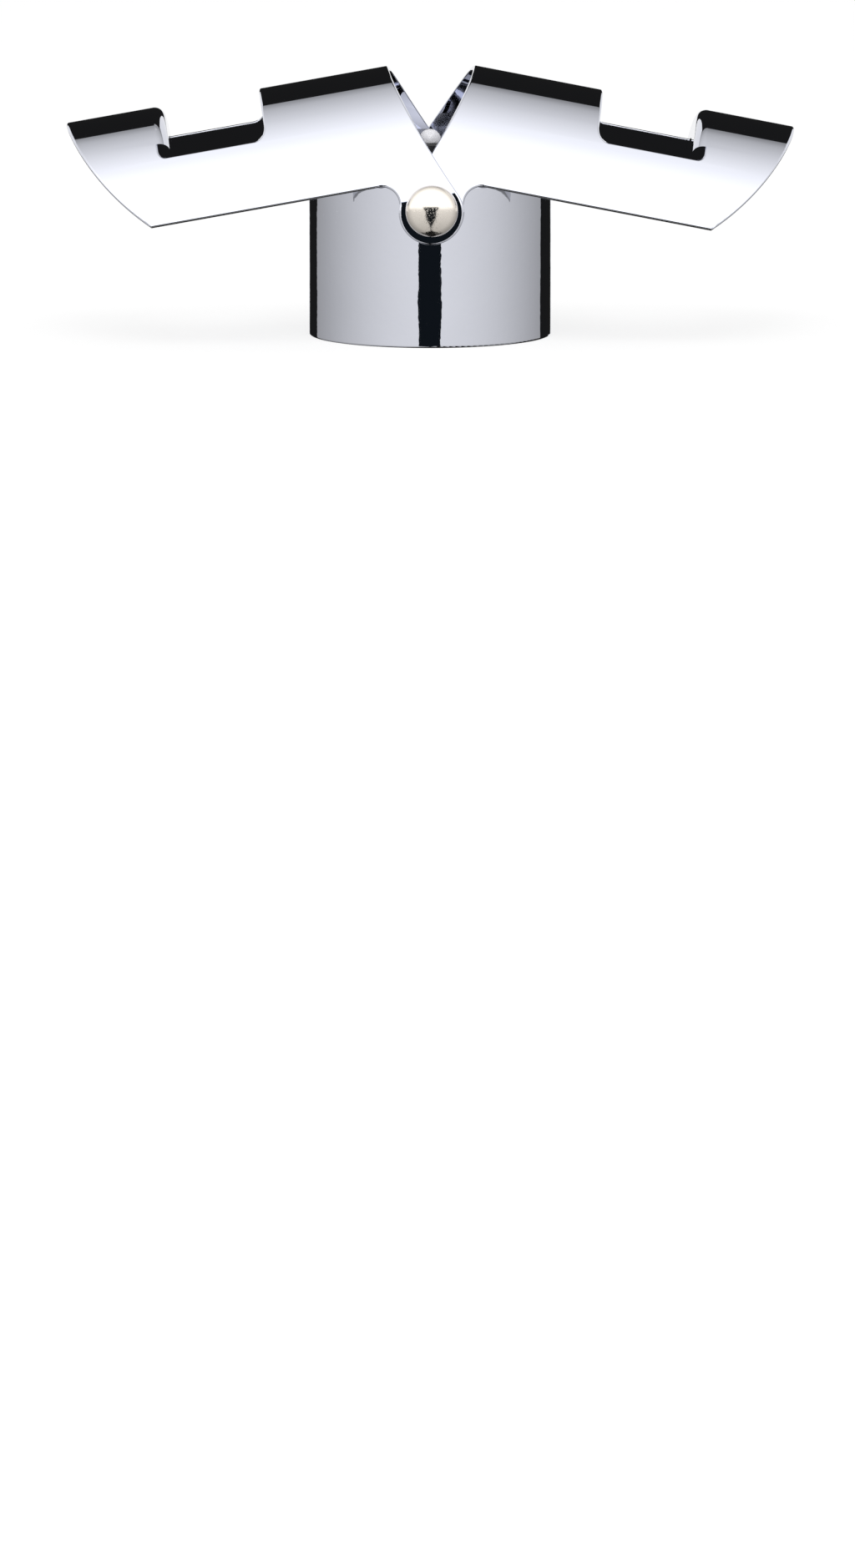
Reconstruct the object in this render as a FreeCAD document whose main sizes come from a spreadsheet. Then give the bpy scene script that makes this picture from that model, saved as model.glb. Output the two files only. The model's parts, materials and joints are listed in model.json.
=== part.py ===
import FreeCAD, Part
import math
import os

import Sketcher
from FreeCAD import Placement, Rotation, Vector

# A clamp-on stopper for sparkling wine. A chrome cap sits over the mouth, a sprung rubber seal
# inside it closes the bore, and two half-tube wings swing down to hook under the neck's ring.
# Origin: centre of the cap's bottom rim. Z is up, X runs along the wings, -Y is the front.

doc = FreeCAD.newDocument("stopper")
sheet = doc.addObject("Spreadsheet::Sheet", "Sizes")

SIZES = (
    # the cap
    ("cap_radius", 17.7), ("cap_wall", 0.8), ("cap_height", 27.2), ("cap_corner", 4.0),
    ("rim_round", 0.3), ("pivot_margin", 0.1),
    # the wings: u runs from the pivot out along the wing, v from the pivot towards the crest
    ("wing_gap", 1.3), ("wing_wall", 0.8), ("lap_gap", 0.7), ("wing_edge", 4.55),
    ("lobe_radius", 4.72), ("lobe_along", 0.1), ("lobe_drop", 0.28), ("lobe_fillet", 2.5),
    ("inner_edge_radius", 165.0), ("crest_start", 2.85), ("tip_margin", 12.9),
    ("corner_margin", 2.8), ("end_radius", 41.0), ("notch_start", 21.85), ("notch_floor", 13.75),
    ("notch_corner", 1.9), ("relief_radius", 1.0), ("hook_face", 35.9), ("hook_depth", 4.5),
    ("bend_radius", 1.7), ("outer_round", 0.32), ("inner_round", 0.12), ("left_droop", 10.1),
    ("right_droop", 11.0),
    # the dome-headed pivot studs and their washers
    ("head_radius", 3.8), ("head_base", 0.3), ("head_round", 1.5), ("crown_radius", 8.0),
    ("shoulder_radius", 1.7), ("pivot_clearance", 0.05),
    ("tail_radius", 1.3), ("tail_head_radius", 2.0), ("tail_head_height", 0.6),
    ("washer_radius", 2.4), ("inner_washer", 0.32), ("outer_washer", 0.44), ("washer_gap", 0.04),
    ("retainer_radius", 2.7), ("retainer_thickness", 0.6),
    # the bush in the cap's top and the stem that slides in it
    ("bush_radius", 3.2), ("bush_flange", 1.05), ("bush_sleeve", 2.0), ("bush_drop", 3.5),
    ("bush_lip", 0.5), ("fit_gap", 0.05), ("stem_radius", 1.0), ("dome_radius", 1.65),
    ("dome_base", 0.2),
    # the seal, its carrier and the spring
    ("mouth_depth", 7.4), ("seal_gap", 1.4), ("seal_thickness", 2.5), ("seal_lip", 0.7),
    ("plug_radius", 8.6), ("plug_length", 5.9), ("plug_chamfer", 0.8), ("plate_thickness", 2.0),
    ("boss_radius", 4.2), ("boss_height", 3.0), ("spigot_radius", 4.5), ("spigot_depth", 4.0),
    ("rib_height", 0.9), ("rib_width", 1.2), ("stem_washer_radius", 3.0),
    ("stem_washer_thickness", 0.6), ("spring_radius", 6.0), ("wire_radius", 0.6),
    ("spring_pitch", 2.9),
)
OVER = 2.0
RIB_COUNT = 6

# Places that several pieces share, written once from the sizes above.
INNER = "(Sizes.cap_radius - Sizes.cap_wall)"
CEILING = "(Sizes.cap_height - Sizes.cap_wall)"
SHOULDER = "(Sizes.cap_height - Sizes.cap_corner)"
PIVOT_HEIGHT = f"({SHOULDER} - Sizes.retainer_radius - Sizes.pivot_margin)"
WING_INNER = "(Sizes.cap_radius + Sizes.wing_gap)"
WING_OUTER = "(Sizes.cap_radius + Sizes.wing_gap + Sizes.wing_wall)"
WING_OFFSET = "((Sizes.wing_wall + Sizes.lap_gap) / 2)"
NOTCH_END = "(Sizes.hook_face + Sizes.bend_radius)"
TIP_REACH = f"({NOTCH_END} + Sizes.tip_margin)"
CORNER_REACH = f"({NOTCH_END} + Sizes.corner_margin)"
HEAD_SEAT = f"({WING_OUTER} + {WING_OFFSET} + Sizes.pivot_clearance)"
RETAINER_FACE = f"(sqrt({INNER}^2 - Sizes.retainer_radius^2) - Sizes.washer_gap)"
PLATE_BASE = "(Sizes.mouth_depth + Sizes.seal_thickness)"
PLATE_TOP = "(Sizes.mouth_depth + Sizes.seal_thickness + Sizes.plate_thickness)"
SEAL_RADIUS = f"({INNER} - Sizes.seal_gap)"
SPIGOT_END = f"({PLATE_BASE} - Sizes.spigot_depth)"
STEM_WASHER_END = f"({SPIGOT_END} - Sizes.stem_washer_thickness)"
BUSH_TOP = "(Sizes.cap_height + Sizes.bush_flange)"


def fill_sheet():
    for row, (name, value) in enumerate(SIZES, start=1):
        sheet.set(f"A{row}", name)
        sheet.set(f"B{row}", str(value))
        sheet.setAlias(f"B{row}", name)
    doc.recompute()


def value_of(expression):
    """The number that an expression on the sheet gives."""
    result = sheet.evalExpression(expression.replace("Sizes.", ""))
    return float(getattr(result, "Value", result))


def new_body(name):
    body = doc.addObject("PartDesign::Body", name)
    body.Label = name
    return body


def new_sketch(body, plane_role, name):
    sketch = body.newObject("Sketcher::SketchObject", name)
    plane = next(f for f in body.Origin.OriginFeatures if f.Role == plane_role)
    sketch.AttachmentSupport = [(plane, "")]
    sketch.MapMode = "FlatFace"
    return sketch


def bind(sketch, constraint, expression):
    """Add a dimension to a sketch and tie it to an expression on the sheet."""
    index = sketch.addConstraint(constraint)
    sketch.setExpression(f"Constraints[{index}]", expression)
    return index


def pin_point(sketch, geometry, end, x, y):
    """Hold a point at a place measured from the sketch's origin."""
    bind(sketch, Sketcher.Constraint("DistanceX", -1, 1, geometry, end, value_of(x)), x)
    bind(sketch, Sketcher.Constraint("DistanceY", -1, 1, geometry, end, value_of(y)), y)


def arc_between(start, end, radius, turn):
    """The arc of a radius from start to end; turn is 1 for anticlockwise, -1 for clockwise."""
    chord = end - start
    half = chord.Length / 2
    side = Vector(-chord.y, chord.x, 0).normalize()
    centre = (start + end) / 2 + side * math.sqrt(max(radius ** 2 - half ** 2, 0)) * turn
    first, last = (start, end) if turn > 0 else (end, start)
    angles = [math.atan2(p.y - centre.y, p.x - centre.x) for p in (first, last)]
    return Part.ArcOfCircle(Part.Circle(centre, Vector(0, 0, 1), radius), *angles)


def draw_profile(sketch, corners):
    """Draw one closed outline. A corner is (x, y) with a line to the next corner, or
    (x, y, radius, turn) with an arc to it."""
    points = [Vector(value_of(c[0]), value_of(c[1]), 0) for c in corners]
    count = len(corners)
    starts, ends = [], []
    for i, corner in enumerate(corners):
        here, there = points[i], points[(i + 1) % count]
        if len(corner) == 2:
            index = sketch.addGeometry(Part.LineSegment(here, there), False)
            starts.append((index, 1))
            ends.append((index, 2))
        else:
            radius, turn = corner[2:]
            index = sketch.addGeometry(arc_between(here, there, value_of(radius), turn), False)
            bind(sketch, Sketcher.Constraint("Radius", index, value_of(radius)), radius)
            starts.append((index, 1 if turn > 0 else 2))
            ends.append((index, 2 if turn > 0 else 1))
    for i, corner in enumerate(corners):
        following = starts[(i + 1) % count]
        sketch.addConstraint(Sketcher.Constraint("Coincident", *ends[i], *following))
        pin_point(sketch, *starts[i], corner[0], corner[1])


def draw_circle(sketch, x, y, radius):
    centre = Vector(value_of(x), value_of(y), 0)
    circle = Part.Circle(centre, Vector(0, 0, 1), value_of(radius))
    index = sketch.addGeometry(circle, False)
    pin_point(sketch, index, 3, x, y)
    bind(sketch, Sketcher.Constraint("Radius", index, value_of(radius)), radius)


def revolve(body, sketch, name):
    """Turn a profile a full circle about the sketch's upright axis."""
    feature = body.newObject("PartDesign::Revolution", name)
    feature.Profile = sketch
    feature.ReferenceAxis = (sketch, ["V_Axis"])
    feature.Angle = 360
    sketch.Visibility = False
    return feature


def turned_piece(name, *profiles):
    """A piece turned about Z from one or more closed profiles given as (radius, height)."""
    body = new_body(name)
    sketch = new_sketch(body, "XZ_Plane", f"{name}_profile")
    for corners in profiles:
        draw_profile(sketch, corners)
    revolve(body, sketch, f"{name}_turned")
    return body


def cut_through(body, sketch, name):
    """Cut a sketch right through a body on both sides and make sure that it took something."""
    doc.recompute()
    before = body.Shape.Volume
    pocket = body.newObject("PartDesign::Pocket", name)
    pocket.Profile = sketch
    pocket.Type = "ThroughAll"
    pocket.Midplane = True
    sketch.Visibility = False
    doc.recompute()
    if body.Shape.Volume > before - 1e-6:
        raise RuntimeError(f"{name} cut nothing")
    return pocket


def make_cap_shell():
    """Deep-drawn cup, open below, with a rounded shoulder, a bush hole on top and two stud holes."""
    outer, top = "Sizes.cap_radius", "Sizes.cap_height"
    inner, ceiling, edge = INNER, CEILING, "Sizes.rim_round"
    crown = f"({outer} - Sizes.cap_corner)"
    hole = "(Sizes.bush_sleeve + Sizes.fit_gap)"
    inner_corner = "(Sizes.cap_corner - Sizes.cap_wall)"
    body = turned_piece("cap_shell", [
        (f"{inner} + {edge}", "0"), (f"{outer} - {edge}", "0", edge, 1),
        (outer, edge), (outer, SHOULDER, "Sizes.cap_corner", 1),
        (crown, top), (hole, top), (hole, ceiling), (crown, ceiling, inner_corner, -1),
        (inner, SHOULDER), (inner, edge, edge, 1),
    ])
    holes = new_sketch(body, "XZ_Plane", "stud_holes")
    draw_circle(holes, "0", PIVOT_HEIGHT, "Sizes.tail_radius + Sizes.fit_gap")
    cut_through(body, holes, "stud_hole_cut")
    return body


def draw_channel(sketch):
    """Section of the pressed sheet: a half tube whose two walls run straight on below the pivot."""
    outer, inner = value_of(WING_OUTER), value_of(WING_INNER)
    depth = value_of("Sizes.lobe_radius + Sizes.lobe_drop") + OVER
    foot = f"-(Sizes.lobe_radius + Sizes.lobe_drop + {OVER})"
    origin, up = Vector(0, 0, 0), Vector(0, 0, 1)
    arcs = [sketch.addGeometry(Part.ArcOfCircle(Part.Circle(origin, up, r), 0, math.pi), False)
            for r in (outer, inner)]
    for arc, radius in zip(arcs, (WING_OUTER, WING_INNER)):
        sketch.addConstraint(Sketcher.Constraint("Coincident", arc, 3, -1, 1))
        bind(sketch, Sketcher.Constraint("Radius", arc, value_of(radius)), radius)
    for side, arc_end in ((1, 1), (-1, 2)):
        walls = []
        for arc, r in zip(arcs, (outer, inner)):
            line = Part.LineSegment(Vector(side * r, 0, 0), Vector(side * r, -depth, 0))
            wall = sketch.addGeometry(line, False)
            walls.append(wall)
            sketch.addConstraint(Sketcher.Constraint("Tangent", wall, 1, arc, arc_end))
            sketch.addConstraint(Sketcher.Constraint("Vertical", wall))
        line = Part.LineSegment(Vector(side * outer, -depth, 0), Vector(side * inner, -depth, 0))
        base = sketch.addGeometry(line, False)
        sketch.addConstraint(Sketcher.Constraint("Coincident", base, 1, walls[0], 2))
        sketch.addConstraint(Sketcher.Constraint("Coincident", base, 2, walls[1], 2))
        sketch.addConstraint(Sketcher.Constraint("Horizontal", base))
        bind(sketch, Sketcher.Constraint("DistanceY", -1, 1, base, 1, -depth), foot)


def draw_wing_outline(sketch):
    """Front view of the trimmed wing: straight lower edge, curved end, slightly hollow inner edge
    that runs tangent into the round lobe, and a fillet back to the lower edge."""
    lobe, fillet = value_of("Sizes.lobe_radius"), value_of("Sizes.lobe_fillet")
    middle = Vector(value_of("Sizes.lobe_along"), -value_of("Sizes.lobe_drop"), 0)
    hollow = value_of("Sizes.inner_edge_radius")
    edge, top = value_of("Sizes.wing_edge"), value_of(WING_OUTER) + OVER
    tip = Vector(value_of(TIP_REACH), value_of(WING_OUTER), 0)
    crest = Vector(value_of("Sizes.crest_start"), value_of(WING_OUTER), 0)
    low = Vector(value_of(CORNER_REACH), edge, 0)
    span = crest - middle
    apart = hollow + lobe
    along = (apart ** 2 - hollow ** 2 + span.Length ** 2) / (2 * span.Length)
    across = math.sqrt(apart ** 2 - along ** 2)
    span.normalize()
    hollow_centre = middle + span * along + Vector(-span.y, span.x, 0) * across
    touch = middle + (hollow_centre - middle) * (lobe / apart)
    rise = math.sqrt(hollow ** 2 - (top - hollow_centre.y) ** 2)
    crest_top = Vector(hollow_centre.x + rise, top, 0)
    rise = edge - fillet - middle.y
    fillet_centre = middle + Vector(math.sqrt((lobe + fillet) ** 2 - rise ** 2), rise, 0)
    meet = middle + (fillet_centre - middle) * (lobe / (lobe + fillet))
    sweep = arc_between(low, tip, value_of("Sizes.end_radius"), 1)
    rise = math.sqrt(sweep.Radius ** 2 - (top - sweep.Center.y) ** 2)
    tip_top = Vector(sweep.Center.x + rise, top, 0)
    up = Vector(0, 0, 1)

    def bearing(centre, point):
        return math.atan2(point.y - centre.y, point.x - centre.x)

    lobe_arc = Part.ArcOfCircle(Part.Circle(middle, up, lobe), bearing(middle, touch),
                                bearing(middle, meet) + 2 * math.pi)
    fillet_arc = Part.ArcOfCircle(Part.Circle(fillet_centre, up, fillet),
                                  math.pi / 2, bearing(middle, meet) + math.pi)
    inner_arc = Part.ArcOfCircle(Part.Circle(hollow_centre, up, hollow),
                                 bearing(hollow_centre, touch), bearing(hollow_centre, crest_top))
    lower = sketch.addGeometry(Part.LineSegment(Vector(fillet_centre.x, edge, 0), low), False)
    end = sketch.addGeometry(arc_between(low, tip_top, sweep.Radius, 1), False)
    roof = sketch.addGeometry(Part.LineSegment(tip_top, crest_top), False)
    inner = sketch.addGeometry(inner_arc, False)
    round_lobe = sketch.addGeometry(lobe_arc, False)
    corner = sketch.addGeometry(fillet_arc, False)
    tip_mark = sketch.addGeometry(Part.Point(tip), True)
    crest_mark = sketch.addGeometry(Part.Point(crest), True)
    add = sketch.addConstraint
    add(Sketcher.Constraint("Coincident", lower, 2, end, 1))
    add(Sketcher.Constraint("Coincident", end, 2, roof, 1))
    add(Sketcher.Constraint("Coincident", roof, 2, inner, 2))
    add(Sketcher.Constraint("Tangent", inner, 1, round_lobe, 1))
    add(Sketcher.Constraint("Tangent", round_lobe, 2, corner, 2))
    add(Sketcher.Constraint("Tangent", corner, 1, lower, 1))
    pin_point(sketch, round_lobe, 3, "Sizes.lobe_along", "-Sizes.lobe_drop")
    add(Sketcher.Constraint("Horizontal", lower))
    add(Sketcher.Constraint("Horizontal", roof))
    add(Sketcher.Constraint("PointOnObject", tip_mark, 1, end))
    add(Sketcher.Constraint("PointOnObject", crest_mark, 1, inner))
    pin_point(sketch, tip_mark, 1, TIP_REACH, WING_OUTER)
    pin_point(sketch, crest_mark, 1, "Sizes.crest_start", WING_OUTER)
    pin_point(sketch, lower, 2, CORNER_REACH, "Sizes.wing_edge")
    height = f"{WING_OUTER} + {OVER}"
    bind(sketch, Sketcher.Constraint("DistanceY", -1, 1, roof, 1, top), height)
    bind(sketch, Sketcher.Constraint("Radius", end, sweep.Radius), "Sizes.end_radius")
    bind(sketch, Sketcher.Constraint("Radius", inner, hollow), "Sizes.inner_edge_radius")
    bind(sketch, Sketcher.Constraint("Radius", round_lobe, lobe), "Sizes.lobe_radius")
    bind(sketch, Sketcher.Constraint("Radius", corner, fillet), "Sizes.lobe_fillet")


def is_skin(face, radius):
    """Whether a face belongs to the half tube's skin of that radius: its curve or a flat wall."""
    surface = face.Surface
    if isinstance(surface, Part.Cylinder):
        return abs(surface.Axis.x) > 0.99 and abs(surface.Radius - radius) < 1e-4
    level = abs(abs(face.CenterOfMass.y) - radius) < 1e-4
    return isinstance(surface, Part.Plane) and abs(surface.Axis.y) > 0.99 and level


def round_cut_edges(body, name, skin, size):
    """Round the edges where the cuts meet one skin of the sheet, as tumbling and polishing do."""
    doc.recompute()
    pressing, radius, names = body.Tip, value_of(skin), []
    for index, edge in enumerate(pressing.Shape.Edges, start=1):
        sides = pressing.Shape.ancestorsOfType(edge, Part.Face)
        bend = any(isinstance(face.Surface, Part.Toroid) for face in sides)
        if sum(is_skin(face, radius) for face in sides) == 1 and not bend:
            names.append(f"Edge{index}")
    rounding = body.newObject("PartDesign::Fillet", name)
    rounding.Base = (pressing, names)
    rounding.setExpression("Radius", size)


def make_wing(name, placement):
    """One pressing: a half tube trimmed in front view, with a notch across its crest whose far
    end is bent in as the hook. Both wings are the same pressing, one turned round."""
    body = new_body(name)
    channel = new_sketch(body, "YZ_Plane", f"{name}_channel")
    draw_channel(channel)
    pad = body.newObject("PartDesign::Pad", f"{name}_tube")
    pad.Profile = channel
    pad.Midplane = True
    pad.setExpression("Length", f"2 * ({TIP_REACH} + {OVER})")
    channel.Visibility = False

    outline = new_sketch(body, "XZ_Plane", f"{name}_outline")
    draw_wing_outline(outline)
    reach, height = f"{TIP_REACH} + {2 * OVER}", f"{WING_OUTER} + {2 * OVER}"
    draw_profile(outline, [(f"-({reach})", f"-({height})"), (reach, f"-({height})"),
                           (reach, height), (f"-({reach})", height)])
    cut_through(body, outline, f"{name}_trim")

    notch = new_sketch(body, "XZ_Plane", f"{name}_notch")
    start, floor = "Sizes.notch_start", "Sizes.notch_floor"
    corner, relief = "Sizes.notch_corner", "Sizes.relief_radius"
    draw_profile(notch, [
        (start, f"{WING_OUTER} + {OVER}"), (start, f"{floor} + {corner}", corner, 1),
        (f"{start} + {corner}", floor), (f"{NOTCH_END} - {relief}", floor, relief, 1),
        (NOTCH_END, f"{floor} + {relief}"), (NOTCH_END, f"{WING_OUTER} + {OVER}"),
    ])
    cut_through(body, notch, f"{name}_notch_cut")

    hole = new_sketch(body, "XZ_Plane", f"{name}_pivot")
    draw_circle(hole, "0", "0", "Sizes.shoulder_radius + Sizes.pivot_clearance")
    cut_through(body, hole, f"{name}_pivot_cut")

    hook = new_sketch(body, "XZ_Plane", f"{name}_hook")
    face, bend = "Sizes.hook_face", f"({WING_OUTER} - Sizes.bend_radius)"
    inside, back = f"({WING_OUTER} - Sizes.hook_depth)", "(Sizes.hook_face + Sizes.wing_wall)"
    draw_profile(hook, [
        (NOTCH_END, WING_INNER), (NOTCH_END, WING_OUTER, "Sizes.bend_radius", 1),
        (face, bend), (face, inside), (back, inside),
        (back, bend, "Sizes.bend_radius - Sizes.wing_wall", -1),
    ])
    flange = body.newObject("PartDesign::Revolution", f"{name}_flange")
    flange.Profile = hook
    flange.ReferenceAxis = (hook, ["H_Axis"])
    flange.Midplane = True
    flange.setExpression("Angle", f"2 * acos(({floor} + 2 * {relief}) / {WING_OUTER})")
    hook.Visibility = False
    round_cut_edges(body, f"{name}_outer_edges", WING_OUTER, "Sizes.outer_round")
    round_cut_edges(body, f"{name}_inner_edges", WING_INNER, "Sizes.inner_round")
    body.Placement = placement
    return body


def make_wings():
    offset, height = value_of(WING_OFFSET), value_of(PIVOT_HEIGHT)
    left = Rotation(180, value_of("Sizes.left_droop"), 0)
    right = Rotation(0, value_of("Sizes.right_droop"), 0)
    make_wing("left_wing", Placement(Vector(0, -offset, height), left))
    make_wing("right_wing", Placement(Vector(0, offset, height), right))


def pivot_placement(side):
    """Local Z points out of the cap along the pivot: side is -1 for the front, 1 for the back."""
    height = value_of(PIVOT_HEIGHT)
    return Placement(Vector(0, 0, height), Rotation(Vector(1, 0, 0), -90 * side))


def make_pivot_stud(name, side):
    """Domed head, shoulder that both wings turn on, and a tail riveted over inside the cap. The
    head is a shallow crown that runs tangent into a small round at its edge."""
    shoulder, tail, step = "Sizes.shoulder_radius", "Sizes.tail_radius", "Sizes.cap_radius"
    dome, crown, edge = "Sizes.head_radius", "Sizes.crown_radius", "Sizes.head_round"
    rim = f"({HEAD_SEAT} + Sizes.head_base)"
    drop = f"sqrt(({crown} - {edge})^2 - ({dome} - {edge})^2)"
    share = f"({crown} / ({crown} - {edge}))"
    head = "Sizes.tail_head_radius"
    head_base = f"({RETAINER_FACE} - Sizes.retainer_thickness)"
    body = turned_piece(name, [
        ("0", f"{head_base} - Sizes.tail_head_height"),
        (f"{head} - Sizes.tail_head_height / 2", f"{head_base} - Sizes.tail_head_height"),
        (head, f"{head_base} - Sizes.tail_head_height / 2"), (head, head_base),
        (tail, head_base), (tail, step), (shoulder, step), (shoulder, HEAD_SEAT),
        (dome, HEAD_SEAT), (dome, rim, edge, 1),
        (f"({dome} - {edge}) * {share}", f"{rim} - {drop} + {drop} * {share}", crown, 1),
        ("0", f"{rim} - {drop} + {crown}"),
    ])
    body.Placement = pivot_placement(side)


def make_washer(name, side, base, outer, inner, thickness):
    """A flat ring on the pivot, from Part primitives, with its outward face at base + thickness."""
    disc = doc.addObject("Part::Cylinder", f"{name}_disc")
    disc.setExpression("Radius", outer)
    bore = doc.addObject("Part::Cylinder", f"{name}_bore")
    bore.setExpression("Radius", inner)
    for cylinder in (disc, bore):
        cylinder.setExpression("Height", thickness)
        cylinder.setExpression("Placement.Base.z", base)
    ring = doc.addObject("Part::Cut", name)
    ring.Label = name
    ring.Base = disc
    ring.Tool = bore
    ring.Placement = pivot_placement(side)


def make_pivots():
    """Front and back pivot: a stud, a washer under each wing and a retainer inside the cap."""
    bore = "Sizes.shoulder_radius + Sizes.fit_gap"
    lap = f"({WING_OUTER} - {WING_OFFSET})"
    for side, word in ((-1, "front"), (1, "back")):
        make_pivot_stud(f"{word}_pivot_stud", side)
        make_washer(f"{word}_inner_washer", side, "Sizes.cap_radius + Sizes.washer_gap / 2",
                    "Sizes.washer_radius", bore, "Sizes.inner_washer")
        make_washer(f"{word}_outer_washer", side, f"{lap} + Sizes.washer_gap",
                    "Sizes.washer_radius", bore, "Sizes.outer_washer")
        make_washer(f"{word}_retaining_washer", side,
                    f"{RETAINER_FACE} - Sizes.retainer_thickness", "Sizes.retainer_radius",
                    "Sizes.tail_radius + Sizes.fit_gap", "Sizes.retainer_thickness")


def make_top_bush():
    """Nylon bush snapped into the cap's top: flange above, sleeve and snap lip below."""
    top, seat, lip = BUSH_TOP, "Sizes.cap_height", "Sizes.bush_lip"
    bore = "(Sizes.stem_radius + Sizes.fit_gap)"
    sleeve, flange = "Sizes.bush_sleeve", "Sizes.bush_radius"
    turned_piece("top_bush", [
        (bore, f"{CEILING} - Sizes.bush_drop"), (sleeve, f"{CEILING} - Sizes.bush_drop"),
        (sleeve, f"{CEILING} - 2 * {lip}"), (f"{sleeve} + {lip}", f"{CEILING} - {lip}"),
        (f"{sleeve} + {lip}", CEILING), (sleeve, CEILING), (sleeve, seat), (flange, seat),
        (flange, f"{top} - Sizes.rim_round"), (f"{flange} - Sizes.rim_round", top), (bore, top),
    ])


def make_stem_rivet():
    """Dome-headed stem that runs down through the bush and is riveted under the seal's carrier."""
    stem, dome, head = "Sizes.stem_radius", "Sizes.dome_radius", "Sizes.tail_head_height"
    tail = f"({stem} + {head})"
    shoulder = f"({BUSH_TOP} + Sizes.dome_base)"
    turned_piece("stem_rivet", [
        ("0", f"{STEM_WASHER_END} - {head}"), (stem, f"{STEM_WASHER_END} - {head}"),
        (tail, f"{STEM_WASHER_END} - {head} / 2"), (tail, STEM_WASHER_END),
        (stem, STEM_WASHER_END), (stem, BUSH_TOP), (dome, BUSH_TOP), (dome, shoulder, dome, 1),
        ("0", f"{shoulder} + {dome}"),
    ])


def make_seal_carrier():
    """Black plastic disc that backs the seal: spigot below, spring boss and ribs above."""
    plate = f"({SEAL_RADIUS} - Sizes.seal_lip)"
    bore = "(Sizes.stem_radius + Sizes.fit_gap)"
    boss, spigot = "Sizes.boss_radius", "Sizes.spigot_radius"
    boss_top = f"({PLATE_TOP} + Sizes.boss_height)"
    body = turned_piece("seal_carrier", [
        (bore, SPIGOT_END), (spigot, SPIGOT_END), (spigot, PLATE_BASE), (plate, PLATE_BASE),
        (plate, PLATE_TOP), (boss, PLATE_TOP), (f"{boss} - Sizes.rim_round", boss_top),
        (bore, boss_top),
    ])
    rib = new_sketch(body, "XY_Plane", "carrier_rib")
    near = "(Sizes.spring_radius + Sizes.wire_radius + Sizes.rib_width / 2)"
    far = f"({plate} - Sizes.seal_lip - Sizes.rib_width)"
    side = "Sizes.rib_width / 2"
    draw_profile(rib, [(near, f"-{side}"), (far, f"-{side}"), (far, side), (near, side)])
    rib.setExpression("AttachmentOffset.Base.z", PLATE_TOP)
    pad = body.newObject("PartDesign::Pad", "carrier_rib_pad")
    pad.Profile = rib
    pad.setExpression("Length", "Sizes.rib_height")
    rib.Visibility = False
    ring = body.newObject("PartDesign::PolarPattern", "carrier_ribs")
    ring.Originals = [pad]
    ring.Axis = (rib, ["N_Axis"])
    ring.Angle = 360
    ring.Occurrences = RIB_COUNT
    body.Tip = ring


def make_seal():
    """Rubber seal: flange that closes the mouth, plug that enters it, lip that grips the disc."""
    plug, radius, face = "Sizes.plug_radius", SEAL_RADIUS, "Sizes.mouth_depth"
    plate = f"({SEAL_RADIUS} - Sizes.seal_lip)"
    lip = "Sizes.seal_lip"
    end = f"({face} - Sizes.plug_length)"
    pocket = f"({STEM_WASHER_END} - 2 * Sizes.tail_head_height)"
    chamfer = "Sizes.plug_chamfer"
    turned_piece("seal", [
        ("0", end), (f"{plug} - {chamfer}", end), (plug, f"{end} + {chamfer}"), (plug, face),
        (f"{radius} - {lip}", face, lip, 1), (radius, f"{face} + {lip}"),
        (radius, f"{PLATE_TOP} + {lip}"), (f"{plate} - {lip}", f"{PLATE_TOP} + {lip}"),
        (f"{plate} - {lip}", PLATE_TOP), (plate, PLATE_TOP), (plate, PLATE_BASE),
        ("Sizes.spigot_radius", PLATE_BASE), ("Sizes.spigot_radius", pocket), ("0", pocket),
    ])


def make_rivet_washer():
    turned_piece("rivet_washer", [
        ("Sizes.stem_radius + Sizes.fit_gap", STEM_WASHER_END),
        ("Sizes.stem_washer_radius", STEM_WASHER_END), ("Sizes.stem_washer_radius", SPIGOT_END),
        ("Sizes.stem_radius + Sizes.fit_gap", SPIGOT_END),
    ])


def make_spring():
    """Compression spring between the carrier and the cap's ceiling, its end turns ground flat."""
    body = new_body("spring")
    section = new_sketch(body, "XZ_Plane", "wire_section")
    draw_circle(section, "Sizes.spring_radius", PLATE_TOP, "Sizes.wire_radius")
    coil = body.newObject("PartDesign::AdditiveHelix", "coil")
    coil.Profile = section
    coil.ReferenceAxis = (section, ["V_Axis"])
    coil.Mode = "pitch-height-angle"
    coil.setExpression("Pitch", "Sizes.spring_pitch")
    coil.setExpression("Height", f"{CEILING} - {PLATE_TOP}")
    section.Visibility = False
    grind = new_sketch(body, "XZ_Plane", "ground_ends")
    clear = "3 * Sizes.wire_radius"
    near, far = f"Sizes.spring_radius - {clear}", f"Sizes.spring_radius + {clear}"
    for plane, away in ((PLATE_TOP, f"{PLATE_TOP} - {clear}"), (CEILING, f"{CEILING} + {clear}")):
        draw_profile(grind, [(near, plane), (far, plane), (far, away), (near, away)])
    groove = body.newObject("PartDesign::Groove", "ground_faces")
    groove.Profile = grind
    groove.ReferenceAxis = (grind, ["V_Axis"])
    groove.Angle = 360
    grind.Visibility = False


NODES = (
    "cap_shell", "left_wing", "right_wing", "front_pivot_stud", "back_pivot_stud",
    "front_inner_washer", "back_inner_washer", "front_outer_washer", "back_outer_washer",
    "front_retaining_washer", "back_retaining_washer", "top_bush", "stem_rivet",
    "seal_carrier", "seal", "rivet_washer", "spring",
)


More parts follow.
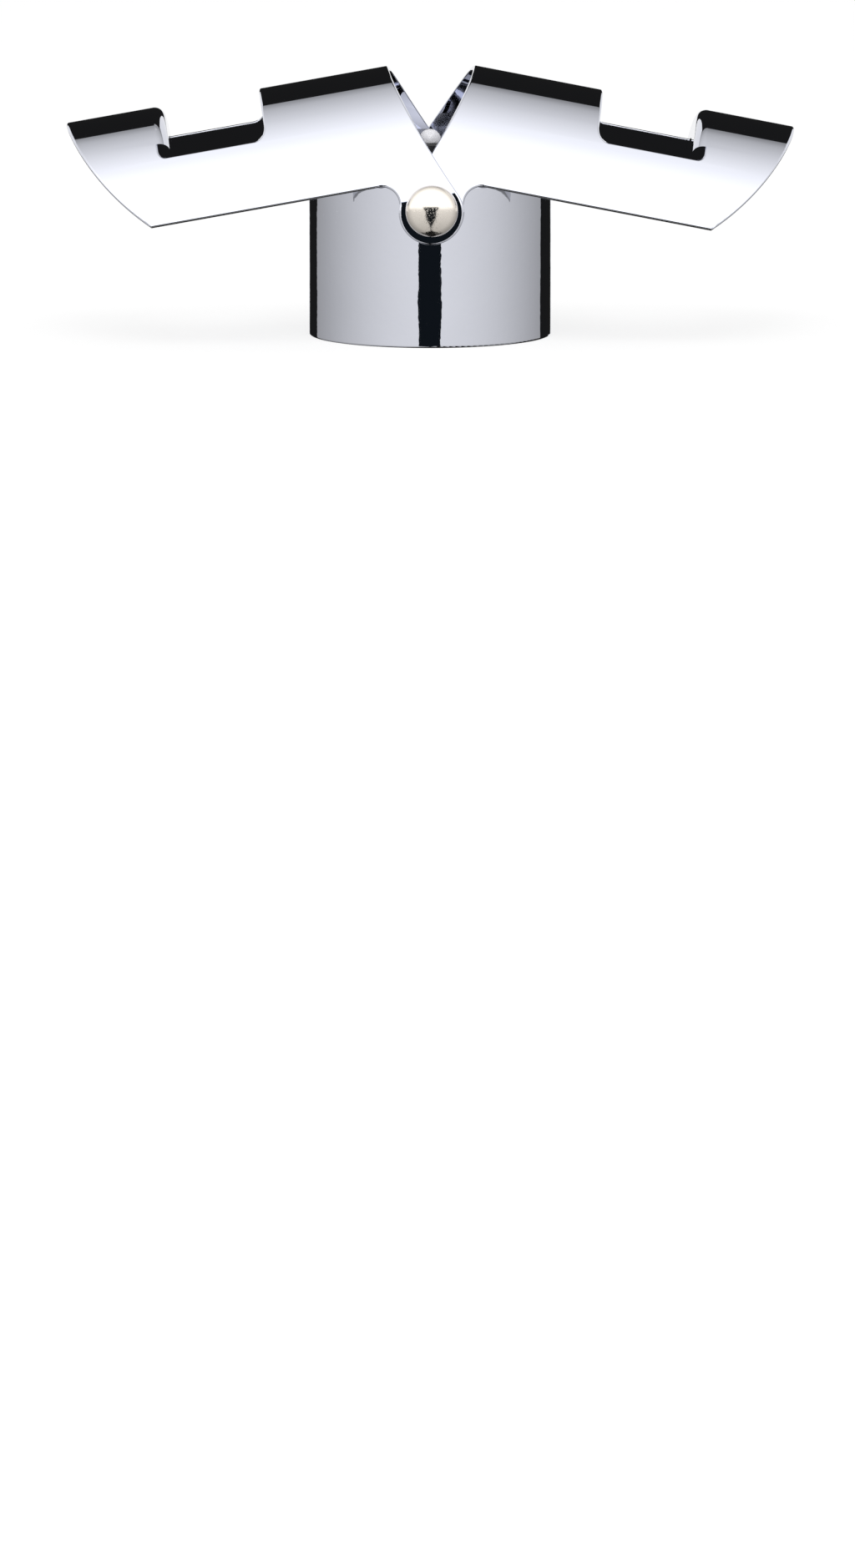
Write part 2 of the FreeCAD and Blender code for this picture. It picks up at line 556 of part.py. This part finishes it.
def check_and_write():
    """Stop on any feature that failed or any piece that isn't one valid solid, then write all."""
    doc.recompute()
    for item in doc.Objects:
        if "Invalid" in item.State or "Error" in item.State:
            raise RuntimeError(f"{item.Name} failed: {item.State}")
    os.makedirs("parts", exist_ok=True)
    for name in NODES:
        shape = doc.getObject(name).Shape
        if shape.isNull() or not shape.isValid() or len(shape.Solids) != 1:
            raise RuntimeError(f"{name} isn't one valid solid")
        shape.exportStep(f"parts/{name}.step")
        print(name, round(shape.Volume, 2))


fill_sheet()
make_cap_shell()
make_wings()
make_pivots()
make_top_bush()
make_stem_rivet()
make_seal_carrier()
make_seal()
make_rivet_washer()
make_spring()
check_and_write()
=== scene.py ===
import json
import math

import bmesh
import bpy
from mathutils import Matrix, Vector


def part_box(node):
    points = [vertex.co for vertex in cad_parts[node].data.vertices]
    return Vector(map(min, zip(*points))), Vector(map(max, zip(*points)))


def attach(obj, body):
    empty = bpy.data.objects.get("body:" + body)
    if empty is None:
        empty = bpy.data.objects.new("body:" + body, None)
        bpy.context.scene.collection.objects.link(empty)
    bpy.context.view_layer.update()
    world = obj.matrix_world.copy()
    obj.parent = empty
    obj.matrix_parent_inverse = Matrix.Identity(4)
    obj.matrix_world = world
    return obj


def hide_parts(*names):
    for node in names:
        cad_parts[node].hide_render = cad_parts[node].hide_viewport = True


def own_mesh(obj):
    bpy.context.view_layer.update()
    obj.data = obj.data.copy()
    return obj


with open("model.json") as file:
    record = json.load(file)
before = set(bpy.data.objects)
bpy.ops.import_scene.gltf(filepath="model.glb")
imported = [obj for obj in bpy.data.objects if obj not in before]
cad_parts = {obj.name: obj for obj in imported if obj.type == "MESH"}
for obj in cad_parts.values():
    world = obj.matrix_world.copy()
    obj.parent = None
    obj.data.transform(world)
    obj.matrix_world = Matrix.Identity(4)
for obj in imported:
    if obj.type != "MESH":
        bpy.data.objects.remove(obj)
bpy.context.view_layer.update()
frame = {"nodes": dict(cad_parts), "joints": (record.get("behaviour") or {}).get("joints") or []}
pieces = frame["nodes"]


# The cap is a cup of thin steel, deep drawn in one pull, so its shoulder is round and its wall
# carries the faintest waves. It's polished and then plated with bright chrome over nickel, which
# comes out thinner and duller inside, where the plating current hardly reaches. The inside is
# also painted much darker than the outside: painted shade in the hollow of the cup.

class Feed:
    """A shader socket in plain arithmetic: each operator adds the Math node that does it."""

    def __init__(self, finish, socket):
        self.finish, self.socket = finish, socket

    def work(self, operation, *values):
        return self.finish.add("ShaderNodeMath", {"operation": operation}, dict(enumerate(values)))

    def __add__(self, other):
        return self.work("ADD", self, other)

    def __sub__(self, other):
        return self.work("SUBTRACT", self, other)

    def __rsub__(self, other):
        return self.work("SUBTRACT", other, self)

    def __mul__(self, other):
        return self.work("MULTIPLY", self, other)

    def __truediv__(self, other):
        return self.work("DIVIDE", self, other)

    def __rtruediv__(self, other):
        return self.work("DIVIDE", other, self)

    def __pow__(self, other):
        return self.work("POWER", self, other)

    def __lt__(self, other):
        return self.work("LESS_THAN", self, other)

    def __gt__(self, other):
        return self.work("GREATER_THAN", self, other)

    __radd__ = __add__
    __rmul__ = __mul__

    def ramp(self, low, high):
        """0 at low, 1 at high, eased at both ends."""
        return self.finish.add("ShaderNodeMapRange", {"interpolation_type": "SMOOTHSTEP"},
                               {0: self, 1: low, 2: high})


class Finish:
    """A material under construction. Every node in it comes from add()."""

    def __init__(self, name):
        self.material = bpy.data.materials.new(name)
        self.material.use_nodes = True
        self.tree = self.material.node_tree
        self.tree.nodes.clear()

    def add(self, kind, settings=(), inputs=(), output=0):
        """Add a node: first its settings, then its sockets' numbers or links."""
        node = self.tree.nodes.new(kind)
        for name, value in dict(settings).items():
            setattr(node, name, value)
        for name, value in dict(inputs).items():
            if isinstance(value, Feed):
                self.tree.links.new(value.socket, node.inputs[name])
            else:
                node.inputs[name].default_value = value
        return Feed(self, node.outputs[output])

    def place(self):
        return self.add("ShaderNodeTexCoord", output="Object")

    def axes(self, vector):
        return [self.add("ShaderNodeSeparateXYZ", (), {0: vector}, axis) for axis in range(3)]

    def grain(self, place, size, detail=2.0, stretch=None):
        """Noise from 0 to 1 whose blotches are about that size, in metres."""
        if stretch:
            place = self.add("ShaderNodeVectorMath", {"operation": "MULTIPLY"},
                             {0: place, 1: stretch})
        return self.add("ShaderNodeTexNoise", (),
                        {"Vector": place, "Scale": 1 / size, "Detail": detail})

    def blend(self, share, one, other):
        """A colour between two, by share."""
        return self.add("ShaderNodeMix", {"data_type": "RGBA"}, {0: share, 6: one, 7: other}, 2)

    def raised(self, height):
        """The surface's normal over a relief given in metres."""
        return self.add("ShaderNodeBump", (), {"Strength": 1.0, "Distance": 1.0, "Height": height})

    def close(self, **sockets):
        """End in a Principled shader. Underscores stand for the spaces in its sockets' names."""
        named = {name.replace("_", " "): value for name, value in sockets.items()}
        shader = self.add("ShaderNodeBsdfPrincipled", (), named)
        self.add_output(shader)
        return self.material

    def add_output(self, shader):
        node = self.tree.nodes.new("ShaderNodeOutputMaterial")
        self.tree.links.new(shader.socket, node.inputs["Surface"])


CHROME = (0.70, 0.715, 0.785, 1)
DULL_SHADED_CHROME = (0.36, 0.365, 0.38, 1)
wave_height, speck_depth = 4e-6, 1.5e-6


def chrome_over(finish, place, dullness_and_shade, drawn=0.0):
    """Bright chrome that turns darker and rougher where the mask is 1: the callers' masks hold
    duller plating and streaks, and painted shade. drawn is the height of the slow waves that deep
    drawing leaves."""
    waves = finish.grain(place, 0.011, 1.0)
    haze = finish.grain(place, 0.03, 4.0)
    specks = finish.grain(place, 0.0005, 1.0).ramp(0.78, 0.84)
    relief = waves * (wave_height + drawn) - specks * speck_depth
    if drawn:
        relief = relief + finish.grain(place, 0.0011, 1.0) * (drawn / 18)
    roughness = haze * 0.03 + specks * 0.08 + dullness_and_shade * 0.22 + 0.015
    return finish.close(Base_Color=finish.blend(dullness_and_shade, CHROME, DULL_SHADED_CHROME), Metallic=1.0,
                        Roughness=roughness, Normal=finish.raised(relief))


def dress(node, material):
    """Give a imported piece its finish."""
    slots = pieces[node].material_slots
    for slot in slots:
        slot.material = material


def cap_chrome():
    finish = Finish("cap_chrome")
    place = finish.place()
    x, y, z = finish.axes(place)
    outer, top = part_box("cap_shell")[1].x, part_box("cap_shell")[1].z
    reach = (x * x + y * y) ** 0.5
    # painted shade: the inside of the cup is painted much darker, besides being made rougher
    inside_dullness_and_shade = (reach < outer - 0.0004) * (z < top - 0.0004) * (z > 0.0004)
    return chrome_over(finish, place, inside_dullness_and_shade, drawn=1.2e-4)


dress("cap_shell", cap_chrome())


# Two wings, both the same pressing: a half tube of steel sheet, trimmed, notched across its crest
# and bent in at the notch's far end as the hook. They're tumbled and polished, which rounds the
# cut edges, and chromed like the cap. A band along the long trimmed edges is made rougher and is
# painted darker, as painted shade.

hinge_height, lobe_reach = 0.0204, 0.0075
trimmed_edge, edge_shade_width = 0.00455, 0.00036


def wing_chrome(name, way, droop):
    finish = Finish(name)
    place = finish.place()
    x, y, z = finish.axes(place)
    out, rise = x * way, z - hinge_height
    above_axis = out * math.sin(droop) + rise * math.cos(droop)
    along_axis = out * math.cos(droop) - rise * math.sin(droop)
    # painted shade: a band along the long trimmed edges is painted darker, as well as made rougher
    edge_painted_shade = (above_axis < trimmed_edge + edge_shade_width) * (along_axis > lobe_reach)
    streaks = finish.grain(place, 0.006, 3.0, stretch=(0.25, 1.0, 1.0))
    dullness_and_shade = streaks.ramp(0.70, 0.95) * 0.12
    return chrome_over(finish, place, dullness_and_shade.work("MAXIMUM", dullness_and_shade, edge_painted_shade))


for wing, way, droop in (("left_wing", -1, 10.1), ("right_wing", 1, 11.0)):
    dress(wing, wing_chrome(f"{wing}_chrome", way, math.radians(droop)))


# Each pivot is a turned stud of nickel-plated brass, warmer than the chrome, with a low polished
# dome for a head. White nylon washers keep the wings apart and off the cap, and the stud's tail is
# riveted over a plain steel washer inside.

def arc(centre, radius, start, end, steps=14):
    """Points of a profile along an arc, in degrees from the radius towards the height."""
    turns = [math.radians(start + (end - start) * step / steps) for step in range(steps + 1)]
    return [(centre[0] + radius * math.cos(t), centre[1] + radius * math.sin(t)) for t in turns]


def turn_on_lathe(name, node, profile, lay, material, body, around=128):
    """A smooth turned piece from (radius, height) points that start and end on the axis. lay
    places a point, given as radius, height and angle."""
    work = bmesh.new()
    rows = []
    for radius, height in profile:
        turns = range(around) if radius > 1e-9 else range(1)
        rows.append([work.verts.new(lay(radius, height, 2 * math.pi * t / around)) for t in turns])
    for low, high in zip(rows, rows[1:]):
        for t in range(around):
            ends = [low[t % len(low)], low[(t + 1) % len(low)],
                    high[(t + 1) % len(high)], high[t % len(high)]]
            work.faces.new(list(dict.fromkeys(ends)))
    bmesh.ops.recalc_face_normals(work, faces=work.faces)
    mesh = bpy.data.meshes.new(name)
    work.to_mesh(mesh)
    work.free()
    for face in mesh.polygons:
        face.use_smooth = True
    mesh.set_sharp_from_angle(angle=math.radians(28))
    mesh.materials.append(material)
    turned = bpy.data.objects.new(name, mesh)
    bpy.context.scene.collection.objects.link(turned)
    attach(turned, body)
    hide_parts(node)


def pivot_nickel():
    finish = Finish("pivot_nickel")
    place = finish.place()
    x, y, z = finish.axes(place)
    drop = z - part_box("front_pivot_stud")[0].z - 0.00375
    reach = (x * x + drop * drop) ** 0.5
    turning = (reach * 21000).work("SINE", reach * 21000)
    specks = finish.grain(place, 0.00025, 2.0).ramp(0.52, 0.68)
    haze = finish.grain(place, 0.004, 3.0)
    relief = turning * 2e-8 - specks * 1.2e-6
    tone = finish.blend(haze, (0.83, 0.78, 0.71, 1), (0.78, 0.72, 0.65, 1))
    return finish.close(Base_Color=tone, Metallic=1.0, Roughness=haze * 0.05 + specks * 0.2 + 0.08,
                        Normal=finish.raised(relief))


def washer_nylon():
    finish = Finish("washer_nylon")
    place = finish.place()
    cloud = finish.grain(place, 0.0012, 3.0)
    tone = finish.blend(cloud, (0.83, 0.82, 0.78, 1), (0.76, 0.75, 0.70, 1))
    return finish.close(Base_Color=tone, Roughness=cloud * 0.15 + 0.35,
                        Normal=finish.raised(finish.grain(place, 0.0002) * 3e-6))


def washer_steel():
    finish = Finish("washer_steel")
    place = finish.place()
    scratches = finish.grain(place, 0.0004, 4.0, stretch=(1.0, 0.08, 1.0))
    tone = finish.blend(scratches, (0.56, 0.55, 0.53, 1), (0.44, 0.43, 0.42, 1))
    return finish.close(Base_Color=tone, Metallic=1.0, Roughness=scratches * 0.2 + 0.22,
                        Normal=finish.raised(scratches * 1e-6))


def turn_stud(side, way, material):
    """Riveted tail, shoulder and head, whose crown runs tangent into a small round at its edge."""
    low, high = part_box(f"{side}_pivot_stud")
    middle, head = (low.z + high.z) / 2, (high.x - low.x) / 2
    tail_end, apex = sorted((abs(low.y), abs(high.y)))
    crown, edge = 0.008, 0.0015
    rivet, bevel, rivet_height = 0.002, 0.0003, 0.0006
    tail, shoulder, shoulder_seat = 0.0013, 0.0017, 0.0177
    lean = math.degrees(math.asin((head - edge) / (crown - edge)))
    rim = apex - crown + (crown - edge) * math.cos(math.radians(lean))
    profile = [(0, tail_end), (rivet - bevel, tail_end), (rivet, tail_end + bevel),
               (rivet, tail_end + rivet_height), (tail, tail_end + rivet_height),
               (tail, shoulder_seat), (shoulder, shoulder_seat), (shoulder, rim - bevel),
               (head, rim - bevel)]
    profile += arc((head - edge, rim), edge, 0, 90 - lean)
    profile += arc((0, apex - crown), crown, 90 - lean, 90)[1:-1] + [(0, apex)]
    turn_on_lathe(f"{side}_turned_stud", f"{side}_pivot_stud", profile,
                  lambda r, h, t: (r * math.cos(t), way * h, middle + r * math.sin(t)),
                  material, "cap")


nickel, nylon, steel = pivot_nickel(), washer_nylon(), washer_steel()
for side, way in (("front", -1), ("back", 1)):
    turn_stud(side, way, nickel)
    dress(f"{side}_inner_washer", nylon)
    dress(f"{side}_outer_washer", nylon)
    dress(f"{side}_retaining_washer", steel)


# A black nylon bush is snapped into the hole in the cap's top and guides the stem. The stem is a
# rivet whose domed head is enamelled white, and the spring pulls the head down onto the bush.

def bush_nylon():
    finish = Finish("bush_nylon")
    place = finish.place()
    skin = finish.grain(place, 0.00025, 3.0)
    shine = finish.grain(place, 0.003, 2.0)
    tone = finish.blend(shine, (0.012, 0.012, 0.013, 1), (0.022, 0.022, 0.024, 1))
    return finish.close(Base_Color=tone, Roughness=shine * 0.15 + 0.32,
                        Normal=finish.raised(skin * 5e-6))


def stem_enamel():
    finish = Finish("stem_enamel")
    place = finish.place()
    bare = finish.axes(place)[2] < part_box("top_bush")[1].z
    skin = finish.grain(place, 0.0004, 2.0)
    cloud = finish.grain(place, 0.002, 2.0)
    white = finish.blend(cloud, (0.96, 0.955, 0.985, 1), (0.92, 0.915, 0.95, 1))
    tone = finish.blend(bare, white, (0.60, 0.60, 0.62, 1))
    return finish.close(Base_Color=tone, Metallic=bare, Roughness=cloud * 0.1 + 0.22,
                        Normal=finish.raised(skin * 6e-7))


def turn_stem():
    low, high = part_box("stem_rivet")
    dome = (high.x - low.x) / 2
    tail, shoulder, skirt = low.z, high.z - dome, 0.0002
    stem, rivet, bevel, rivet_height = 0.001, 0.0016, 0.0003, 0.0006
    profile = [(0, tail), (stem, tail), (rivet, tail + bevel), (rivet, tail + rivet_height),
               (stem, tail + rivet_height), (stem, shoulder - skirt), (dome, shoulder - skirt)]
    profile += arc((0, shoulder), dome, 0, 90)[:-1] + [(0, high.z)]
    turn_on_lathe("turned_stem", "stem_rivet", profile,
                  lambda r, h, t: (r * math.cos(t), r * math.sin(t), h),
                  stem_enamel(), "plunger")


dress("top_bush", bush_nylon())
turn_stem()


# The seal is moulded in black food-grade rubber, a flange with a plug below, stretched over a rigid
# black disc that carries the spring. The stem's tail is riveted over a steel washer under it.

def seal_rubber():
    finish = Finish("seal_rubber")
    place = finish.place()
    skin = finish.grain(place, 0.00035, 4.0)
    bloom = finish.grain(place, 0.005, 3.0)
    tone = finish.blend(bloom.ramp(0.35, 0.8), (0.018, 0.018, 0.018, 1), (0.045, 0.044, 0.042, 1))
    return finish.close(Base_Color=tone, Roughness=bloom * 0.15 + 0.55,
                        Normal=finish.raised(skin * 1.2e-5))


def carrier_plastic():
    finish = Finish("carrier_plastic")
    place = finish.place()
    fibres = finish.grain(place, 0.0006, 4.0, stretch=(1.0, 0.3, 1.0))
    tone = finish.blend(fibres, (0.02, 0.02, 0.021, 1), (0.036, 0.036, 0.037, 1))
    return finish.close(Base_Color=tone, Roughness=fibres * 0.2 + 0.35,
                        Normal=finish.raised(fibres * 5e-6))


dress("seal", seal_rubber())
dress("seal_carrier", carrier_plastic())
dress("rivet_washer", steel)


# The spring is wound from round stainless wire, five turns, with both ends ground flat so that it
# stands square between the disc and the cap's ceiling. On the real cap it shortens as the seal is
# pushed up; here it is wound once, at its rest length, and rides with the cap.

spring_low, spring_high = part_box("spring")
spring_turns, spring_wire = 5, 0.0006
spring_radius = spring_high.x - spring_wire
spring_length = spring_high.z - spring_low.z


def spring_steel():
    finish = Finish("spring_steel")
    place = finish.place()
    drawn = finish.grain(place, 0.0005, 3.0)
    tone = finish.blend(drawn, (0.50, 0.49, 0.48, 1), (0.40, 0.39, 0.38, 1))
    return finish.close(Base_Color=tone, Metallic=1.0, Roughness=drawn * 0.15 + 0.2,
                        Normal=finish.raised(drawn * 1e-6))


class Tree:
    """A Geometry Nodes tree with named inputs. Every node in it comes from add()."""

    def __init__(self, name, **sizes):
        self.group = bpy.data.node_groups.new(name, "GeometryNodeTree")
        for title, (kind, value) in sizes.items():
            socket = self.group.interface.new_socket(title, in_out="INPUT", socket_type=kind)
            socket.default_value = value
        self.group.interface.new_socket("Geometry", in_out="OUTPUT",
                                        socket_type="NodeSocketGeometry")
        self.start = self.group.nodes.new("NodeGroupInput")

    def size(self, title):
        return self.start.outputs[title]

    def add(self, kind, settings=(), inputs=(), output=0):
        node = self.group.nodes.new(kind)
        for name, value in dict(settings).items():
            setattr(node, name, value)
        for name, value in dict(inputs).items():
            if isinstance(value, bpy.types.NodeSocket):
                self.group.links.new(value, node.inputs[name])
            else:
                node.inputs[name].default_value = value
        return node.outputs[output]

    def make(self, name, material, **sizes):
        """Run the tree with these sizes and keep the result as a plain mesh."""
        whole = self.add("GeometryNodeRealizeInstances", (), {0: self.last})
        painted = self.add("GeometryNodeSetMaterial", (), {0: whole, "Material": material})
        end = self.group.nodes.new("NodeGroupOutput")
        self.group.links.new(painted, end.inputs[0])
        holder = bpy.data.objects.new(name, bpy.data.meshes.new(f"{name}_start"))
        bpy.context.scene.collection.objects.link(holder)
        modifier = holder.modifiers.new(name, "NODES")
        modifier.node_group = self.group
        for item in self.group.interface.items_tree:
            if item.in_out == "INPUT" and item.name in sizes:
                modifier[item.identifier] = sizes[item.name]
        graph = bpy.context.evaluated_depsgraph_get()
        mesh = bpy.data.meshes.new_from_object(holder.evaluated_get(graph))
        holder.modifiers.remove(modifier)
        holder.data = mesh
        for face in mesh.polygons:
            face.use_smooth = True
        return holder


def wind_spring():
    """A helix swept by the wire, lifted to the disc, with what stands past its ends ground off."""
    number = "NodeSocketFloat"
    tree = Tree("spring_winding", Radius=(number, 0.006), Wire=(number, 0.0006),
                Turns=(number, 5.0), Length=(number, 0.0145), Base=(number, 0.0119))
    radius = tree.size("Radius")
    helix = tree.add("GeometryNodeCurveSpiral", (), {
        "Resolution": 48, "Rotations": tree.size("Turns"), "Start Radius": radius,
        "End Radius": radius, "Height": tree.size("Length")})
    section = tree.add("GeometryNodeCurvePrimitiveCircle", {"mode": "RADIUS"},
                       {"Resolution": 20, "Radius": tree.size("Wire")})
    wound = tree.add("GeometryNodeCurveToMesh", (),
                     {"Curve": helix, "Profile Curve": section, "Fill Caps": True})
    lift = tree.add("ShaderNodeCombineXYZ", (), {"Z": tree.size("Base")})
    lifted = tree.add("GeometryNodeTransform", (), {"Geometry": wound, "Translation": lift})
    place = tree.add("GeometryNodeInputPosition")
    spots = [tree.add("ShaderNodeSeparateXYZ", (), {0: place}, axis) for axis in range(3)]
    top = tree.add("ShaderNodeMath", {"operation": "ADD"},
                   {0: tree.size("Base"), 1: tree.size("Length")})
    ground = tree.add("ShaderNodeClamp", (), {0: spots[2], 1: tree.size("Base"), 2: top})
    kept = tree.add("ShaderNodeCombineXYZ", (), {0: spots[0], 1: spots[1], 2: ground})
    tree.last = tree.add("GeometryNodeSetPosition", (), {"Geometry": lifted, "Position": kept})
    return tree.make("wound_spring", spring_steel(), Radius=spring_radius, Wire=spring_wire,
                     Turns=float(spring_turns), Length=spring_length, Base=spring_low.z)


wound_spring = wind_spring()
seal_travel = next(j["range_m"][1] for j in frame["joints"] if j["name"] == "seal_slide")
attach(wound_spring, "cap")
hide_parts("spring")
(spring_length - seal_travel) / spring_length
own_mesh(wound_spring)


# The stand: a plain pale floor, and round the object a white tent with black cloth hung behind it,
# as for any photograph of chrome. The tent is seen only in reflections, so it hides the object from
# no side. Three soft lamps light what isn't metal.

camera_turn, camera_rise, camera_distance = math.radians(-0.70), math.radians(6.4), 2.5
pivot = Vector((0, 0, 0.0204))
towards_camera = Vector((math.sin(camera_turn) * math.cos(camera_rise),
                         -math.cos(camera_turn) * math.cos(camera_rise), math.sin(camera_rise)))


def stand_piece(name, corners, faces, material):
    mesh = bpy.data.meshes.new(name)
    mesh.from_pydata(corners, [], faces)
    mesh.materials.append(material)
    thing = bpy.data.objects.new(name, mesh)
    bpy.context.scene.collection.objects.link(thing)
    return thing


def seen_directly(finish):
    """1 for rays that see a background: from the camera, off metal and through glass."""
    kinds = ("Is Camera Ray", "Is Glossy Ray", "Is Transmission Ray")
    rays = [finish.add("ShaderNodeLightPath", output=kind) for kind in kinds]
    return rays[0].work("MAXIMUM", rays[0].work("MAXIMUM", rays[0], rays[1]), rays[2])


def floor_paint():
    finish = Finish("floor_paint")
    paint = finish.add("ShaderNodeBsdfDiffuse", (), {"Color": (0.88, 0.88, 0.88, 1)})
    glow = finish.add("ShaderNodeEmission", (), {"Color": (1, 1, 1, 1), "Strength": 1.03})
    finish.add_output(finish.add("ShaderNodeMixShader", (),
                                 {0: seen_directly(finish) * 0.75, 1: paint, 2: glow}))
    return finish.material


def tent_cloth():
    """White cloth, brightest in front and above, greyer round the sides and towards the table;
    black cloth behind, with white left on either side, and underneath; and the gap that the lens
    looks through, which narrows downwards."""
    finish = Finish("tent_cloth")
    way = finish.add("ShaderNodeVectorMath", {"operation": "NORMALIZE"}, {0: finish.place()})
    x, y, z = finish.axes(way)
    facing = finish.add("ShaderNodeVectorMath", {"operation": "DOT_PRODUCT"},
                        {0: way, 1: towards_camera}, "Value")
    depth = z * -1.0
    bright = facing + 0.93 - x * 0.12
    lower = (facing * 0.30 + 0.61) * (1.06 - depth * 0.5)
    over_table = z.ramp(math.sin(math.radians(4.4)), math.sin(math.radians(5.2)))
    dawn = z.ramp(-0.05, 0.11)
    above = z.ramp(-0.05, 0.45)
    low_end, high_end, middle = (math.cos(math.radians(end)) for end in (130.5, 119, 166))
    limit = above * (high_end - low_end) + low_end - (1 - above) * (x < 0) * 0.075
    lit = (facing - limit).ramp(-0.004, 0.004)
    upper = bright.work("MINIMUM", bright, 1.65) - (1 - (facing - limit).ramp(0.0, 0.16)) * 0.12
    light = upper * dawn + lower * (1 - dawn)
    aside = x.work("ABSOLUTE", x)
    strip = (facing < 0) * (aside > 0.25) * (z > -0.095) * (z < 0.75)
    strip = strip.work("MAXIMUM", strip, (facing < middle) * (z < 0.05))
    under = (y > -0.1) * depth.ramp(0.35, 0.45) * (1 - aside.ramp(0.30, 0.45))
    under = under.work("MAXIMUM", under, aside < depth.ramp(0.66, 0.90) * 0.24)
    across = x / depth.work("ABSOLUTE", y) + 0.024
    across = across.work("ABSOLUTE", across)
    half = 0.171 * (1 - depth.ramp(0.25, 0.68)) + z.ramp(-0.09, 0.04) * 0.09 + 0.02
    gap = (across < half) * (y < 0) * (1 - over_table)
    cloth = light * lit * (1 - under)
    cloth = cloth.work("MAXIMUM", cloth, strip * 0.95)
    strength = cloth * (1 - gap) + 0.012
    tint = finish.blend(gap, (1, 1, 1, 1), (0.55, 0.75, 1.0, 1))
    finish.add_output(finish.add("ShaderNodeEmission", (), {"Color": tint, "Strength": strength}))
    return finish.material


floor_reach, floor_level = 6.0, -2e-5
floor = stand_piece("floor", [(way_x * floor_reach, way_y * floor_reach, floor_level)
                              for way_x, way_y in ((-1, -1), (1, -1), (1, 1), (-1, 1))],
                    [(0, 1, 2, 3)], floor_paint())
floor.visible_glossy = False


def hang_tent(radius=1.6, rings=24, bays=48):
    corners = []
    for ring in range(rings + 1):
        fall = math.pi * ring / rings
        corners += [(radius * math.sin(fall) * math.cos(2 * math.pi * bay / bays),
                     radius * math.sin(fall) * math.sin(2 * math.pi * bay / bays),
                     radius * math.cos(fall)) for bay in range(bays)]
    faces = [(ring * bays + bay, (ring + 1) * bays + bay,
              (ring + 1) * bays + (bay + 1) % bays, ring * bays + (bay + 1) % bays)
             for ring in range(rings) for bay in range(bays)]
    tent = stand_piece("tent", corners, faces, tent_cloth())
    tent.location = pivot
    for ray in ("camera", "diffuse", "transmission", "shadow", "volume_scatter"):
        setattr(tent, f"visible_{ray}", False)


hang_tent()


def hang_lamp(name, place, width, power):
    light = bpy.data.lights.new(name, "AREA")
    light.shape, light.size, light.energy = "SQUARE", width, power
    lamp = bpy.data.objects.new(name, light)
    lamp.location = place
    lamp.rotation_euler = (pivot - Vector(place)).to_track_quat("-Z", "Y").to_euler()
    lamp.visible_glossy = False
    bpy.context.scene.collection.objects.link(lamp)


hang_lamp("front_lamp", (0.0, -0.9, 1.2), 0.9, 11)
hang_lamp("left_lamp", (-1.1, -0.2, 0.9), 0.8, 2)
hang_lamp("right_lamp", (1.1, 0.3, 0.9), 0.8, 2)

world = bpy.data.worlds.new("room")
bpy.context.scene.world = world
world.use_nodes = True
background = world.node_tree.nodes["Background"]
background.inputs["Color"].default_value = (1, 1, 1, 1)
background.inputs["Strength"].default_value = 0.75

picture_height, focal_pixels = 1879, 20500
lens = bpy.data.cameras.new("lens")
lens.sensor_width = 36
lens.lens = lens.sensor_width * focal_pixels / picture_height
lens.clip_start, lens.clip_end = 0.05, 50
camera = bpy.data.objects.new("camera", lens)
camera.location = pivot + towards_camera * camera_distance
tilt = camera_rise + math.atan((939.5 - 233.7) / focal_pixels)
turn = camera_turn + (515.0 - 512.0) / focal_pixels / math.cos(tilt)
camera.rotation_euler = (math.pi / 2 - tilt, 0, turn)
bpy.context.scene.collection.objects.link(camera)
bpy.context.scene.camera = camera
bpy.context.scene.view_settings.view_transform = "Standard"
